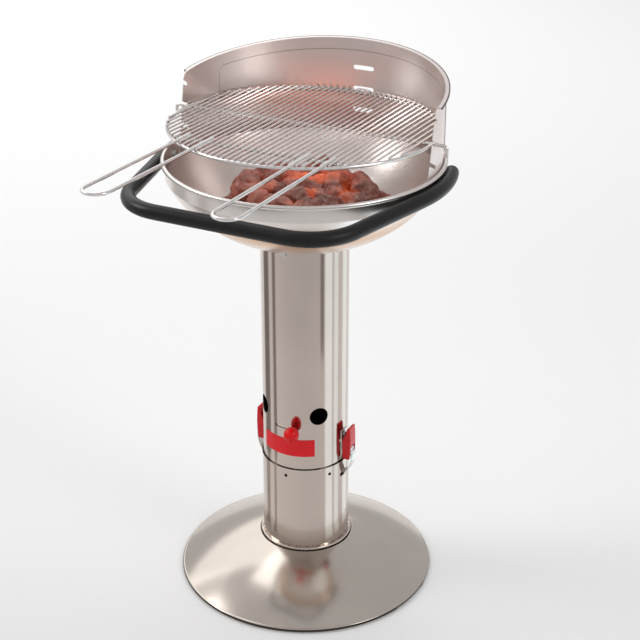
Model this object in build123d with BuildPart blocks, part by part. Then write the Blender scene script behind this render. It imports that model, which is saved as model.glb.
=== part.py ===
# Pedestal charcoal grill: foot disc, ash bucket, column with air damper, fire bowl,
# wind screen, cooking grid, charcoal grate and two draw latches. Millimetres, +Z up,
# origin on the column axis at floor level, front of the grill towards -Y.
# Angles round the axis are counted from the front, positive towards +X.
import os
from math import cos, degrees, radians, sin, sqrt, tan

from build123d import *

os.makedirs("parts", exist_ok=True)

# Foot disc
foot_r = 243.5
foot_sheet = 1.2
foot_height = 74.0
foot_eye_r = 40.0
foot_ledge = 2.5
foot_roll = 8.0
foot_hem = 8.0
foot_crown = 6.0

# Ash bucket
bucket_wall = 1.2
bucket_height = 175.6
bucket_seam_w = 5.5
bucket_seam_h = 6.0
bucket_seam_round = 2.4
bucket_rim_w = 1.0
bucket_clear = 0.6
dimple_count = 6
dimple_drop = 15.6
dimple_r = 4.5
dimple_reach = 2.6
bucket_rim_clear = 3.0
bucket_screw_count = 3
bucket_screw_ring_r = 55.0

# Column tube and its openings
column_r = 80.2
column_wall = 1.0
column_length = 452.0
vent_r = 17.5
vent_rise = 123.0
vent_angles = (45.0, 135.0, 225.0, 315.0)
slot_rise = 97.0

# Air damper inside the column
damper_clear = 0.3
damper_wall = 0.8
damper_turn = 27.0
damper_rest_angle = 12.0
damper_above = 9.0
damper_below = 12.0
damper_hole_extra = 0.5
stem_r = 2.0
slot_eye_gain = 0.46
stem_head_r = 4.5
stem_head_h = 2.2
stem_fit = 0.05
knob_r = 14.4
knob_stand_off = 6.4
knob_flat = 5.0
knob_bite = 11.0

# Fire bowl
bowl_sheet = 1.0
bowl_r = 250.0
bowl_neck_slope = 10.7
bowl_end_slope = 61.2
bowl_neck_r = 3.0
bowl_collar_h = 25.0
bowl_collar_clear = 0.3
bowl_band_h = 27.5
bowl_roll_r = 4.0
bowl_screw_angles = (0.0, 120.0, 240.0)
bowl_screw_drop = 7.5

# Wind screen
screen_sheet = 1.0
screen_clear = 0.5
screen_foot_gap = 3.0
screen_back_rise = 145.7
screen_tilt = 7.8
screen_front_y = -24.0
screen_front_lean = 10.9
screen_corner_r = 14.0
hem_w = 7.2
hem_h = 3.0
hem_start_y = 16.0
panel_lift = 1.5
panel_margin = 22.0
panel_start_y = 94.0
panel_corner_r = 12.0
panel_foot = 8.0
screen_screw_angles = (135.0, 180.0, 225.0)
fixing_drop = 2.0
level_pitch = 40.0
notch_slope = 28.0
slot_w = 41.0
slot_h = 8.0

# Cooking grid
grid_rise = 52.3
grid_tilt = 1.8
grid_clear = 2.0
ring_wire_r = 3.0
bar_wire_r = 2.0
bar_pitch = 11.3
bar_edge = 12.0
bar_overhang = 1.5
front_wire_in = 70.5
hanger_y = 9.0
hook_reach = 20.0
hook_drop = 20.0
hook_bend_r = 6.0
notch_fit = 0.3
weld_gap = 0.05
loop_near_gap = 8
loop_far_gap = 12
loop_reach = 250.5
loop_end_past = 8.0
tongue_in = 10.0
tongue_out = 3.5
tongue_bend_r = 5.0

# Charcoal grate and the fuel on it
grate_r = 152.5
grate_wire_r = 2.5
grate_bar_r = 2.0
grate_pitch = 22.0
grate_bar_count = 13
seat_gap = 0.3
coal_r = 27.0
coal_h = 36.0
coal_taper = 17.0
coal_low_inner_r = 62.0
coal_low_outer_r = 122.0
coal_high_inner_r = 36.0
coal_high_outer_r = 96.0

# Front handle tube
tube_r = 13.0
tube_wall = 1.2
tube_reach = 52.0
tube_corner_r = 92.0
tube_hug_start = 76.5
tube_hug_end = 109.0
tube_fit = 0.3
tube_drop = 21.5
plug_depth = 8.0
plug_dome = 9.0
plug_round = 8.1
plug_fit = 0.1
handle_bolt_angles = (79.5, 104.5)

# Draw latches, described on the +X side
latch_w = 26.0
lever_wall = 2.0
lever_face = 2.5
lever_base = 6.4
lever_height = 66.0
lever_out = 17.3
lever_bow = 1.7
lever_in = 3.3
lever_tab_in = 11.9
lever_shoulder = 38.0
lever_tab_drop = 13.0
lever_notch_w = 19.0
lever_notch_h = 26.5
lever_edge_r = 3.0
lever_tip_r = 1.2
pivot_out = 14.8
pivot_rise = 6.4
link_in = 1.0
link_rise = 12.0
pin_r = 2.0
pin_fit = 0.05
pin_cover = 0.8
ear_t = 1.5
ear_fit = 0.3
ear_eye_r = 4.5
base_t = 1.5
base_h = 58.0
base_drop = 1.6
rivet_r = 2.0
rivet_head_r = 4.0
rivet_head_h = 1.6
rivet_rises = (37.0, 47.0)
hook_w = 16.0
hook_t = 2.0
hook_eye_r = 4.0
hook_out = 19.2
hook_elbow = 5.8
hook_knee_out = 13.0
hook_knee_rise = 13.5
hook_foot_out = 4.0
hook_bend = 3.0
hook_tip_in = 3.3
hook_slot_drop = 25.6
hook_slot_h = 8.0
hook_slot_w = 31.0
hook_slot_gap = 0.5

# Screws and nuts
m5_r = 2.5
m5_head_r = 4.6
m5_head_h = 3.0
m5_nut_af = 8.0
m5_nut_h = 4.0
m6_r = 3.0
m6_head_r = 5.5
m6_head_h = 3.4
m6_nut_af = 10.0
m6_nut_h = 5.0
hole_fit = 0.25
face_gap = 0.15

# Heights that follow from the sizes above
bucket_inner_r = column_r + bucket_clear
bucket_r = bucket_inner_r + bucket_wall
foot_plateau_r = bucket_r + bucket_seam_w + foot_ledge
bucket_floor = foot_height
bucket_top = bucket_floor + bucket_height
dimple_z = bucket_top - dimple_drop
dimple_centre_r = column_r - dimple_reach + dimple_r
column_inner_r = column_r - column_wall
column_bottom = dimple_z + sqrt(dimple_r**2 - (dimple_centre_r - column_r) ** 2) + weld_gap
column_top = column_bottom + column_length
vent_z = column_bottom + vent_rise
slot_z = column_bottom + slot_rise

collar_r = column_inner_r - bowl_collar_clear
neck_z = column_top - sqrt(bowl_neck_r**2 - (bowl_neck_r - bowl_collar_clear) ** 2) + weld_gap
band_r = bowl_r - 2 * bowl_roll_r + bowl_sheet
band_inner_r = band_r - bowl_sheet
neck_end_r = collar_r + bowl_neck_r * (1 - sin(radians(bowl_neck_slope)))
bowl_curve_span = sin(radians(bowl_end_slope)) - sin(radians(bowl_neck_slope))
bowl_curve_r = (band_r - neck_end_r) / bowl_curve_span
band_z = (
    neck_z
    + bowl_neck_r * cos(radians(bowl_neck_slope))
    + bowl_curve_r * (cos(radians(bowl_neck_slope)) - cos(radians(bowl_end_slope)))
)
roll_z = band_z + bowl_band_h
rim_z = roll_z + bowl_roll_r
bowl_centre_r = neck_end_r - bowl_curve_r * sin(radians(bowl_neck_slope))
bowl_centre_z = (
    neck_z
    + bowl_neck_r * cos(radians(bowl_neck_slope))
    + bowl_curve_r * cos(radians(bowl_neck_slope))
)
bowl_screw_z = column_top - bowl_screw_drop

screen_r = band_inner_r - screen_clear
screen_inner_r = screen_r - screen_sheet
screen_bottom = band_z + screen_foot_gap
screen_back_z = rim_z + screen_back_rise
fixing_z = band_z + bowl_band_h / 2 - fixing_drop

grid_z = rim_z + grid_rise
bar_z = grid_z + ring_wire_r + bar_wire_r + weld_gap
loop_z = grid_z + 2 * ring_wire_r + weld_gap
grid_ring_r = screen_inner_r - grid_clear - ring_wire_r
front_wire_y = front_wire_in - grid_ring_r
grid_hang = Pos(0, hanger_y, grid_z) * Rot(X=-grid_tilt) * Pos(0, -hanger_y, -grid_z)
tongue_y = screen_r + tongue_out
tongue_end = grid_hang * Pos(0, tongue_y + bar_wire_r, bar_z - bar_wire_r)
rear_slot_z = tongue_end.position.Z - notch_fit + slot_h / 2

tube_z = rim_z - tube_drop
hug_r = band_r + tube_fit + tube_r
tube_front_y = -bowl_r - tube_reach

lever_z = bucket_top + lever_base
pivot_x = column_r + pivot_out
pivot_z = lever_z + pivot_rise
link_x = pivot_x - link_in
link_z = pivot_z + link_rise
hook_slot_top = bucket_top - hook_slot_drop


def radial_plane(angle, radius, height):
    """Plane facing outwards at an angle from the front, its X axis round the axis."""
    turn = radians(angle)
    return Plane(
        origin=(radius * sin(turn), -radius * cos(turn), height),
        x_dir=(cos(turn), sin(turn), 0),
        z_dir=(sin(turn), -cos(turn), 0),
    )


def half_plane(angle):
    """Upright plane through the axis, X pointing outwards at an angle from the front."""
    turn = radians(angle)
    return Plane(
        origin=(0, 0, 0),
        x_dir=(sin(turn), -cos(turn), 0),
        z_dir=(-cos(turn), -sin(turn), 0),
    )


def drill(angles, radius, height, hole_r, depth):
    """Cut round holes through a wall, radially inwards from a radius outside it."""
    for angle in angles:
        with BuildSketch(radial_plane(angle, radius, height)) as hole:
            Circle(hole_r)
        extrude(hole.sketch, amount=-depth, mode=Mode.SUBTRACT)


def radial_screws(angles, seat_r, height, head_r, head_h, shank_r, length, head_side):
    """Pan-head screws on radial axes, with heads outside (1) or inside (-1) the seat."""
    for angle in angles:
        with BuildSketch(radial_plane(angle, seat_r, height)) as head:
            Circle(head_r)
        extrude(head.sketch, amount=head_side * head_h)
        with BuildSketch(radial_plane(angle, seat_r, height)) as shank:
            Circle(shank_r)
        extrude(shank.sketch, amount=-head_side * length)


def radial_nuts(angles, seat_r, height, across_flats, bore_r, thickness):
    """Hexagon nuts on radial axes, growing outwards from the seat (inwards if negative)."""
    for angle in angles:
        with BuildSketch(radial_plane(angle, seat_r, height)) as nut:
            RegularPolygon(across_flats / 2, 6, major_radius=False)
            Circle(bore_r, mode=Mode.SUBTRACT)
        extrude(nut.sketch, amount=thickness)


# Foot disc: one spun sheet with a rolled hem that stands on the floor
dome_in = Vector(foot_plateau_r, foot_height)
dome_out = Vector(foot_r - foot_roll / 2, foot_roll)
dome_way = (dome_out - dome_in).normalized()
dome_mid = (dome_in + dome_out) / 2 + Vector(-dome_way.Y, dome_way.X) * foot_crown
with BuildPart() as foot_disc:
    with BuildSketch(Plane.XZ):
        with BuildLine():
            Line((foot_eye_r, foot_height), (foot_plateau_r, foot_height))
            ThreePointArc(dome_in, dome_mid, dome_out)
            ThreePointArc(
                dome_out, (foot_r, foot_roll / 2), (foot_r - foot_roll / 2, 0)
            )
            Line((foot_r - foot_roll / 2, 0), (foot_r - foot_roll / 2 - foot_hem, 0))
            offset(amount=foot_sheet, side=Side.RIGHT)
        make_face()
    revolve(axis=Axis.Z)
    with BuildSketch(Plane.XY.offset(foot_height)):
        with PolarLocations(bucket_screw_ring_r, bucket_screw_count):
            Circle(m5_r + hole_fit)
    extrude(amount=-2 * foot_sheet, mode=Mode.SUBTRACT)
foot_disc.part.label = "foot_disc"
export_step(foot_disc.part, "parts/foot_disc.step")

# Ash bucket: seamed floor, plain wall, inward dimples that carry the column, keeper slots
with BuildPart() as ash_bucket:
    with BuildSketch(Plane.XZ):
        with BuildLine():
            Polyline(
                (0, bucket_floor),
                (bucket_r + bucket_seam_w, bucket_floor),
                (bucket_r + bucket_seam_w, bucket_floor + bucket_seam_h),
                (bucket_r, bucket_floor + bucket_seam_h),
                (bucket_r, bucket_top - 2 * bucket_rim_w),
                (bucket_r + bucket_rim_w, bucket_top - 2 * bucket_rim_w),
                (bucket_r + bucket_rim_w, bucket_top),
                (bucket_inner_r, bucket_top),
                (bucket_inner_r, bucket_floor + bucket_wall),
                (0, bucket_floor + bucket_wall),
                close=True,
            )
        make_face()
    revolve(axis=Axis.Z)
    seam_edges = ash_bucket.edges().filter_by(GeomType.CIRCLE)
    fillet(
        [e for e in seam_edges if abs(e.radius - bucket_r - bucket_seam_w) < 0.01],
        bucket_seam_round,
    )
    with PolarLocations(dimple_centre_r, dimple_count, start_angle=-90):
        with Locations((0, 0, dimple_z)):
            Sphere(dimple_r)
    with PolarLocations(dimple_centre_r, dimple_count, start_angle=-90):
        with Locations((0, 0, dimple_z)):
            Sphere(dimple_r - bucket_wall, mode=Mode.SUBTRACT)
    with BuildSketch(Plane.XY.offset(dimple_z - 2 * dimple_r)):
        Circle(bucket_r + 3 * dimple_r)
        Circle(bucket_r, mode=Mode.SUBTRACT)
    extrude(amount=4 * dimple_r - bucket_rim_clear, mode=Mode.SUBTRACT)
    with BuildSketch(Plane.YZ.offset(-2 * bucket_r)):
        with Locations((0, hook_slot_top - hook_slot_h / 2)):
            SlotOverall(hook_slot_w, hook_slot_h)
    extrude(amount=4 * bucket_r, mode=Mode.SUBTRACT)
    with BuildSketch(Plane.XY.offset(bucket_floor)):
        with PolarLocations(bucket_screw_ring_r, bucket_screw_count):
            Circle(m5_r + hole_fit)
    extrude(amount=2 * bucket_wall, mode=Mode.SUBTRACT)
ash_bucket.part.label = "ash_bucket"
export_step(ash_bucket.part, "parts/ash_bucket.step")

# Bucket screws and nuts: hold the bucket floor down on the foot disc
with BuildPart() as bucket_screws:
    with BuildSketch(Plane.XY.offset(bucket_floor + bucket_wall)):
        with PolarLocations(bucket_screw_ring_r, bucket_screw_count):
            Circle(m5_head_r)
    extrude(amount=m5_head_h)
    with BuildSketch(Plane.XY.offset(bucket_floor + bucket_wall)):
        with PolarLocations(bucket_screw_ring_r, bucket_screw_count):
            Circle(m5_r)
    extrude(amount=-(bucket_wall + foot_sheet + m5_nut_h + m5_r))
bucket_screws.part.label = "bucket_screws"
export_step(bucket_screws.part, "parts/bucket_screws.step")

with BuildPart() as bucket_nuts:
    with BuildSketch(Plane.XY.offset(bucket_floor - foot_sheet)):
        with PolarLocations(bucket_screw_ring_r, bucket_screw_count):
            RegularPolygon(m5_nut_af / 2, 6, major_radius=False)
            Circle(m5_r + weld_gap, mode=Mode.SUBTRACT)
    extrude(amount=-m5_nut_h)
bucket_nuts.part.label = "bucket_nuts"
export_step(bucket_nuts.part, "parts/bucket_nuts.step")

# Column tube: vents, damper slot with its closed-end pocket, screw and rivet holes
slot_half = stem_r + damper_clear
slot_eye_r = slot_half + slot_eye_gain
damper_closed_angle = damper_rest_angle - damper_turn
with BuildPart() as column_tube:
    with BuildSketch(Plane.XY.offset(column_bottom)):
        Circle(column_r)
        Circle(column_inner_r, mode=Mode.SUBTRACT)
    extrude(amount=column_length)
    drill(vent_angles, column_r + column_wall, vent_z, vent_r, 8 * column_wall)
    drill(bowl_screw_angles, column_r + column_wall, bowl_screw_z, m5_r + hole_fit, 4 * column_wall)
    for rise in rivet_rises:
        drill((90, 270), column_r + column_wall, lever_z + rise, rivet_r + weld_gap, 4 * column_wall)
    with BuildSketch(half_plane(damper_closed_angle)):
        with Locations((column_r, slot_z)):
            Rectangle(6 * column_wall, 2 * slot_half)
    revolve(axis=Axis.Z, revolution_arc=damper_turn, mode=Mode.SUBTRACT)
    slot_ends = (damper_closed_angle, damper_rest_angle)
    drill(slot_ends, column_r + column_wall, slot_z, slot_half, 4 * column_wall)
    drill(
        (damper_closed_angle,),
        column_r + column_wall,
        slot_z + slot_half / 2,
        slot_eye_r,
        4 * column_wall,
    )
column_tube.part.label = "column_tube"
export_step(column_tube.part, "parts/column_tube.step")

# Air damper: a perforated ring inside the column, its stem in the slot and a ball knob
damper_r = column_inner_r - damper_clear
damper_bottom = slot_z - damper_below
with BuildPart() as damper_ring:
    with BuildSketch(Plane.XY.offset(damper_bottom)):
        Circle(damper_r)
        Circle(damper_r - damper_wall, mode=Mode.SUBTRACT)
    extrude(amount=vent_z + vent_r + damper_above - damper_bottom)
    drill(vent_angles, column_r, vent_z, vent_r + damper_hole_extra, 8 * column_wall)
    drill((damper_rest_angle,), column_r, slot_z, stem_r + stem_fit, 8 * column_wall)
damper_ring.part.label = "damper_ring"
export_step(damper_ring.part, "parts/damper_ring.step")

knob_centre_r = column_r + knob_stand_off + knob_r
knob_face_r = knob_centre_r - sqrt(knob_r**2 - knob_flat**2)
stem_seat_r = damper_r - damper_wall - face_gap
with BuildPart() as damper_stem:
    radial_screws(
        (damper_rest_angle,),
        stem_seat_r,
        slot_z,
        stem_head_r,
        stem_head_h,
        stem_r,
        knob_face_r + knob_bite - stem_seat_r,
        -1,
    )
damper_stem.part.label = "damper_stem"
export_step(damper_stem.part, "parts/damper_stem.step")

with BuildPart() as damper_knob:
    with Locations(radial_plane(damper_rest_angle, knob_centre_r, slot_z).location):
        Sphere(knob_r)
    with BuildSketch(radial_plane(damper_rest_angle, knob_face_r, slot_z)):
        Circle(knob_r)
    extrude(amount=-knob_r, mode=Mode.SUBTRACT)
    with BuildSketch(radial_plane(damper_rest_angle, knob_face_r, slot_z)):
        Circle(stem_r + stem_fit)
    extrude(amount=knob_bite + stem_fit, mode=Mode.SUBTRACT)
damper_knob.part.label = "damper_knob"
export_step(damper_knob.part, "parts/damper_knob.step")

# Fire bowl: collar in the column, curved bowl, straight band and a rolled rim
handle_angles = [a for angle in handle_bolt_angles for a in (angle, 360 - angle)]
with BuildPart() as fire_bowl:
    with BuildSketch(Plane.XZ):
        with BuildLine():
            Line((collar_r, neck_z - bowl_collar_h), (collar_r, neck_z))
            neck = JernArc(
                (collar_r, neck_z), (0, 1), bowl_neck_r, bowl_neck_slope - 90
            )
            JernArc(neck @ 1, neck % 1, bowl_curve_r, bowl_end_slope - bowl_neck_slope)
            Line((band_r, band_z), (band_r, roll_z))
            JernArc((band_r, roll_z), (0, 1), bowl_roll_r - bowl_sheet, -270)
            offset(amount=bowl_sheet, side=Side.LEFT)
        make_face()
    revolve(axis=Axis.Z)
    drill(bowl_screw_angles, column_r, bowl_screw_z, m5_r + hole_fit, 4 * bowl_sheet)
    drill(screen_screw_angles, band_r + bowl_sheet, fixing_z, m5_r + hole_fit, 3 * bowl_sheet)
    drill(handle_angles, band_r + bowl_sheet, tube_z, m6_r + hole_fit, 3 * bowl_sheet)
fire_bowl.part.label = "fire_bowl"
export_step(fire_bowl.part, "parts/fire_bowl.step")

with BuildPart() as bowl_screws:
    radial_screws(
        bowl_screw_angles,
        column_r + face_gap,
        bowl_screw_z,
        m5_head_r,
        m5_head_h,
        m5_r,
        column_wall + bowl_collar_clear + bowl_sheet + m5_nut_h + m5_r,
        1,
    )
bowl_screws.part.label = "bowl_screws"
export_step(bowl_screws.part, "parts/bowl_screws.step")

with BuildPart() as bowl_nuts:
    radial_nuts(
        bowl_screw_angles,
        collar_r - bowl_sheet - face_gap,
        bowl_screw_z,
        m5_nut_af,
        m5_r + weld_gap,
        -m5_nut_h,
    )
bowl_nuts.part.label = "bowl_nuts"
export_step(bowl_nuts.part, "parts/bowl_nuts.step")

# Wind screen: half-round sheet cut from the side, with a lip, a pressed panel and slots
screen_reach = bowl_r + hem_w
screen_slope = tan(radians(screen_tilt))


def screen_top(y):
    """Height of the screen's slanting top edge at a distance behind the axis."""
    return screen_back_z - (screen_r - y) * screen_slope


def screen_front(z):
    """Distance behind the axis of the screen's leaning front edge at a height."""
    return screen_front_y + (z - screen_bottom) * tan(radians(screen_front_lean))


front_top = screen_top(screen_front(screen_top(0)))
with BuildPart() as screen_wall:
    with BuildSketch(Plane.XY.offset(screen_bottom)):
        Circle(screen_r)
        Circle(screen_inner_r, mode=Mode.SUBTRACT)
    extrude(amount=screen_top(screen_reach) - screen_bottom)
    with BuildSketch(Plane.YZ):
        with BuildLine():
            Polyline(
                (screen_front_y, screen_bottom),
                (screen_reach, screen_bottom),
                (screen_reach, screen_top(screen_reach)),
                (screen_front(front_top), screen_top(screen_front(front_top))),
                close=True,
            )
        side_view = make_face()
        front_corners = side_view.vertices().sort_by(Axis.X)[:2]
        fillet(front_corners.sort_by(Axis.Y)[-1], screen_corner_r)
    extrude(amount=screen_reach, both=True, mode=Mode.INTERSECT)

with BuildPart() as screen_lip:
    with BuildSketch(Plane.XY.offset(screen_top(0) - 2 * hem_h)):
        Circle(screen_r + hem_w)
        Circle(screen_inner_r, mode=Mode.SUBTRACT)
    extrude(amount=screen_top(screen_reach) - screen_top(0) + 2 * hem_h)
    with BuildSketch(Plane.YZ):
        with BuildLine():
            Polyline(
                (hem_start_y, screen_top(hem_start_y) - hem_h),
                (screen_reach, screen_top(screen_reach) - hem_h),
                (screen_reach, screen_top(screen_reach)),
                (hem_start_y, screen_top(hem_start_y)),
                close=True,
            )
        make_face()
    extrude(amount=screen_reach, both=True, mode=Mode.INTERSECT)


def panel_block(grow):
    """The pressed panel's side view, grown all round and drawn through the whole screen."""
    with BuildPart() as block:
        with BuildSketch(Plane.YZ):
            with BuildLine():
                Polyline(
                    (panel_start_y - grow, rim_z + panel_foot - grow),
                    (screen_reach, rim_z + panel_foot - grow),
                    (screen_reach, screen_top(screen_reach) - panel_margin + grow),
                    (panel_start_y - grow, screen_top(panel_start_y - grow) - panel_margin + grow),
                    close=True,
                )
            panel_view = make_face()
            fillet(panel_view.vertices().sort_by(Axis.X)[:2], panel_corner_r + grow)
        extrude(amount=screen_reach, both=True)
    return block.part


with BuildPart() as panel_outside:
    with BuildSketch(Plane.XY.offset(screen_bottom)):
        Circle(screen_r + panel_lift)
        Circle(screen_r - screen_sheet / 4, mode=Mode.SUBTRACT)
    extrude(amount=screen_top(screen_reach) - screen_bottom)
    add(panel_block(screen_sheet), mode=Mode.INTERSECT)

with BuildPart() as panel_inside:
    with BuildSketch(Plane.XY.offset(screen_bottom)):
        Circle(screen_inner_r + panel_lift)
        Circle(screen_inner_r - panel_lift, mode=Mode.SUBTRACT)
    extrude(amount=screen_top(screen_reach) - screen_bottom)
    add(panel_block(0), mode=Mode.INTERSECT)

notch_half = ring_wire_r + notch_fit
notch_cut = 2 * (hanger_y - screen_front_y)
with BuildPart() as wind_screen:
    add(screen_wall.part)
    add(screen_lip.part)
    add(panel_outside.part)
    add(panel_inside.part, mode=Mode.SUBTRACT)
    for level in (-1, 0, 1):
        notch_end = Location((hanger_y, grid_z + level * level_pitch, 0), (0, 0, -notch_slope))
        with BuildSketch(Plane.YZ):
            with Locations(notch_end):
                Circle(notch_half)
                Rectangle(notch_cut, 2 * notch_half, align=(Align.MAX, Align.CENTER))
        extrude(amount=screen_reach, both=True, mode=Mode.SUBTRACT)
        with BuildSketch(Plane.XZ):
            with Locations((0, rear_slot_z + level * level_pitch)):
                SlotOverall(slot_w, slot_h)
        extrude(amount=-screen_reach, mode=Mode.SUBTRACT)
    drill(screen_screw_angles, band_r, fixing_z, m5_r + hole_fit, 4 * screen_sheet)
    rear_bolt_angles = (handle_bolt_angles[1], 360 - handle_bolt_angles[1])
    drill(rear_bolt_angles, band_r, tube_z, m6_r + hole_fit, 4 * screen_sheet)
wind_screen.part.label = "wind_screen"
export_step(wind_screen.part, "parts/wind_screen.step")

with BuildPart() as screen_screws:
    radial_screws(
        screen_screw_angles,
        screen_inner_r - face_gap,
        fixing_z,
        m5_head_r,
        m5_head_h,
        m5_r,
        band_r - screen_inner_r + m5_nut_h + m5_r,
        -1,
    )
screen_screws.part.label = "screen_screws"
export_step(screen_screws.part, "parts/screen_screws.step")

with BuildPart() as screen_nuts:
    radial_nuts(
        screen_screw_angles,
        band_r + face_gap,
        fixing_z,
        m5_nut_af,
        m5_r + weld_gap,
        m5_nut_h,
    )
screen_nuts.part.label = "screen_nuts"
export_step(screen_nuts.part, "parts/screen_nuts.step")

# Front handle: a bent tube hugging the bowl band on both sides, plugged at its ends
hug_turn = radians(tube_hug_start)
hug_x = hug_r * sin(hug_turn)
hug_y = -hug_r * cos(hug_turn)
elbow_x = hug_x - (hug_y - tube_front_y) / tan(hug_turn)
hug_arc = tube_hug_end - tube_hug_start
tube_inner_r = tube_r - tube_wall
with BuildPart() as handle_tube:
    with BuildLine(Plane.XY.offset(tube_z)) as tube_path:
        CenterArc((0, 0), hug_r, 270 - tube_hug_end, hug_arc)
        FilletPolyline(
            (-hug_x, hug_y),
            (-elbow_x, tube_front_y),
            (elbow_x, tube_front_y),
            (hug_x, hug_y),
            radius=tube_corner_r,
        )
        CenterArc((0, 0), hug_r, tube_hug_start - 90, hug_arc)
    with BuildSketch(Plane(origin=tube_path.wire() @ 0, z_dir=tube_path.wire() % 0)):
        Circle(tube_r)
        Circle(tube_inner_r, mode=Mode.SUBTRACT)
    sweep(path=tube_path.wire())
    drill(handle_angles, hug_r, tube_z, m6_r + hole_fit, tube_r + tube_fit)
handle_tube.part.label = "handle_tube"
export_step(handle_tube.part, "parts/handle_tube.step")

plug_turn = radians(tube_hug_end)
with BuildPart() as handle_end_plugs:
    for side in (1, -1):
        plug_plane = Plane(
            origin=(side * hug_r * sin(plug_turn), -hug_r * cos(plug_turn), tube_z),
            x_dir=(0, 0, 1),
            z_dir=(side * cos(plug_turn), sin(plug_turn), 0),
        )
        with BuildSketch(plug_plane.offset(weld_gap)):
            Circle(tube_r)
        extrude(amount=plug_dome)
        with BuildSketch(plug_plane.offset(weld_gap)):
            Circle(tube_inner_r - plug_fit)
        revolve(axis=Axis((0, 0, 0), (0, 0, -side)), revolution_arc=degrees(plug_depth / hug_r))
    dome_edges = handle_end_plugs.edges().filter_by(GeomType.CIRCLE)
    fillet(dome_edges.group_by(Axis.Y)[-1], plug_round)
handle_end_plugs.part.label = "handle_end_plugs"
export_step(handle_end_plugs.part, "parts/handle_end_plugs.step")

handle_nut_r = hug_r - sqrt(tube_inner_r**2 - (m6_nut_af / sqrt(3)) ** 2) + face_gap
handle_bolt_end = handle_nut_r + m6_nut_h + m6_r / 2
with BuildPart() as handle_bolts:
    for angle, seat_r in zip(handle_bolt_angles, (band_inner_r, screen_inner_r)):
        radial_screws(
            (angle, 360 - angle),
            seat_r - face_gap,
            tube_z,
            m6_head_r,
            m6_head_h,
            m6_r,
            handle_bolt_end - seat_r + face_gap,
            -1,
        )
handle_bolts.part.label = "handle_bolts"
export_step(handle_bolts.part, "parts/handle_bolts.step")

with BuildPart() as handle_nuts:
    radial_nuts(handle_angles, handle_nut_r, tube_z, m6_nut_af, m6_r + weld_gap, m6_nut_h)
handle_nuts.part.label = "handle_nuts"
export_step(handle_nuts.part, "parts/handle_nuts.step")

# Latch bases: curved plates on the column with a pair of ears for the lever pin
base_in_r = column_r + weld_gap
base_z = lever_z - base_drop
ear_out_y = latch_w / 2 - lever_wall - ear_fit
with BuildPart() as latch_base_right:
    with BuildSketch(Plane.XY.offset(base_z)):
        Circle(base_in_r + base_t)
        Circle(base_in_r, mode=Mode.SUBTRACT)
        with Locations((column_r, 0)):
            Rectangle(column_r, 2 * ear_out_y, mode=Mode.INTERSECT)
    extrude(amount=base_h)
    with BuildSketch(Plane.XZ.offset(ear_out_y - ear_t)):
        with BuildLine():
            Polyline(
                (column_r + base_t / 4, base_z),
                (pivot_x, pivot_z - ear_eye_r),
                (pivot_x, pivot_z + ear_eye_r),
                (column_r + base_t / 4, pivot_z + 2 * ear_eye_r),
                close=True,
            )
        make_face()
        with Locations((pivot_x, pivot_z)):
            Circle(ear_eye_r)
            Circle(pin_r + weld_gap, mode=Mode.SUBTRACT)
    extrude(amount=ear_t)
    mirror(latch_base_right.part, about=Plane.XZ)
    for rise in rivet_rises:
        drill((90,), column_r + 2 * base_t, lever_z + rise, rivet_r + weld_gap, 3 * base_t)
latch_base_right.part.label = "latch_base_right"
export_step(latch_base_right.part, "parts/latch_base_right.step")

with BuildPart() as latch_base_left:
    mirror(latch_base_right.part, about=Plane.YZ)
latch_base_left.part.label = "latch_base_left"
export_step(latch_base_left.part, "parts/latch_base_left.step")

rivet_seat_r = base_in_r + base_t + face_gap
rivet_grip = rivet_seat_r - column_inner_r + face_gap
with BuildPart() as latch_rivets:
    for rise in rivet_rises:
        radial_screws(
            (90, 270),
            rivet_seat_r,
            lever_z + rise,
            rivet_head_r,
            rivet_head_h,
            rivet_r,
            rivet_grip,
            1,
        )
        radial_screws(
            (90, 270),
            rivet_seat_r - rivet_grip,
            lever_z + rise,
            rivet_head_r,
            rivet_head_h,
            rivet_r,
            rivet_grip,
            -1,
        )
latch_rivets.part.label = "latch_rivets"
export_step(latch_rivets.part, "parts/latch_rivets.step")

pin_half = latch_w / 2 - pin_cover
with BuildPart() as lever_pins:
    with BuildSketch(Plane.XZ):
        with Locations((pivot_x, pivot_z), (-pivot_x, pivot_z)):
            Circle(pin_r)
    extrude(amount=pin_half, both=True)
lever_pins.part.label = "lever_pins"
export_step(lever_pins.part, "parts/lever_pins.step")

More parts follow.
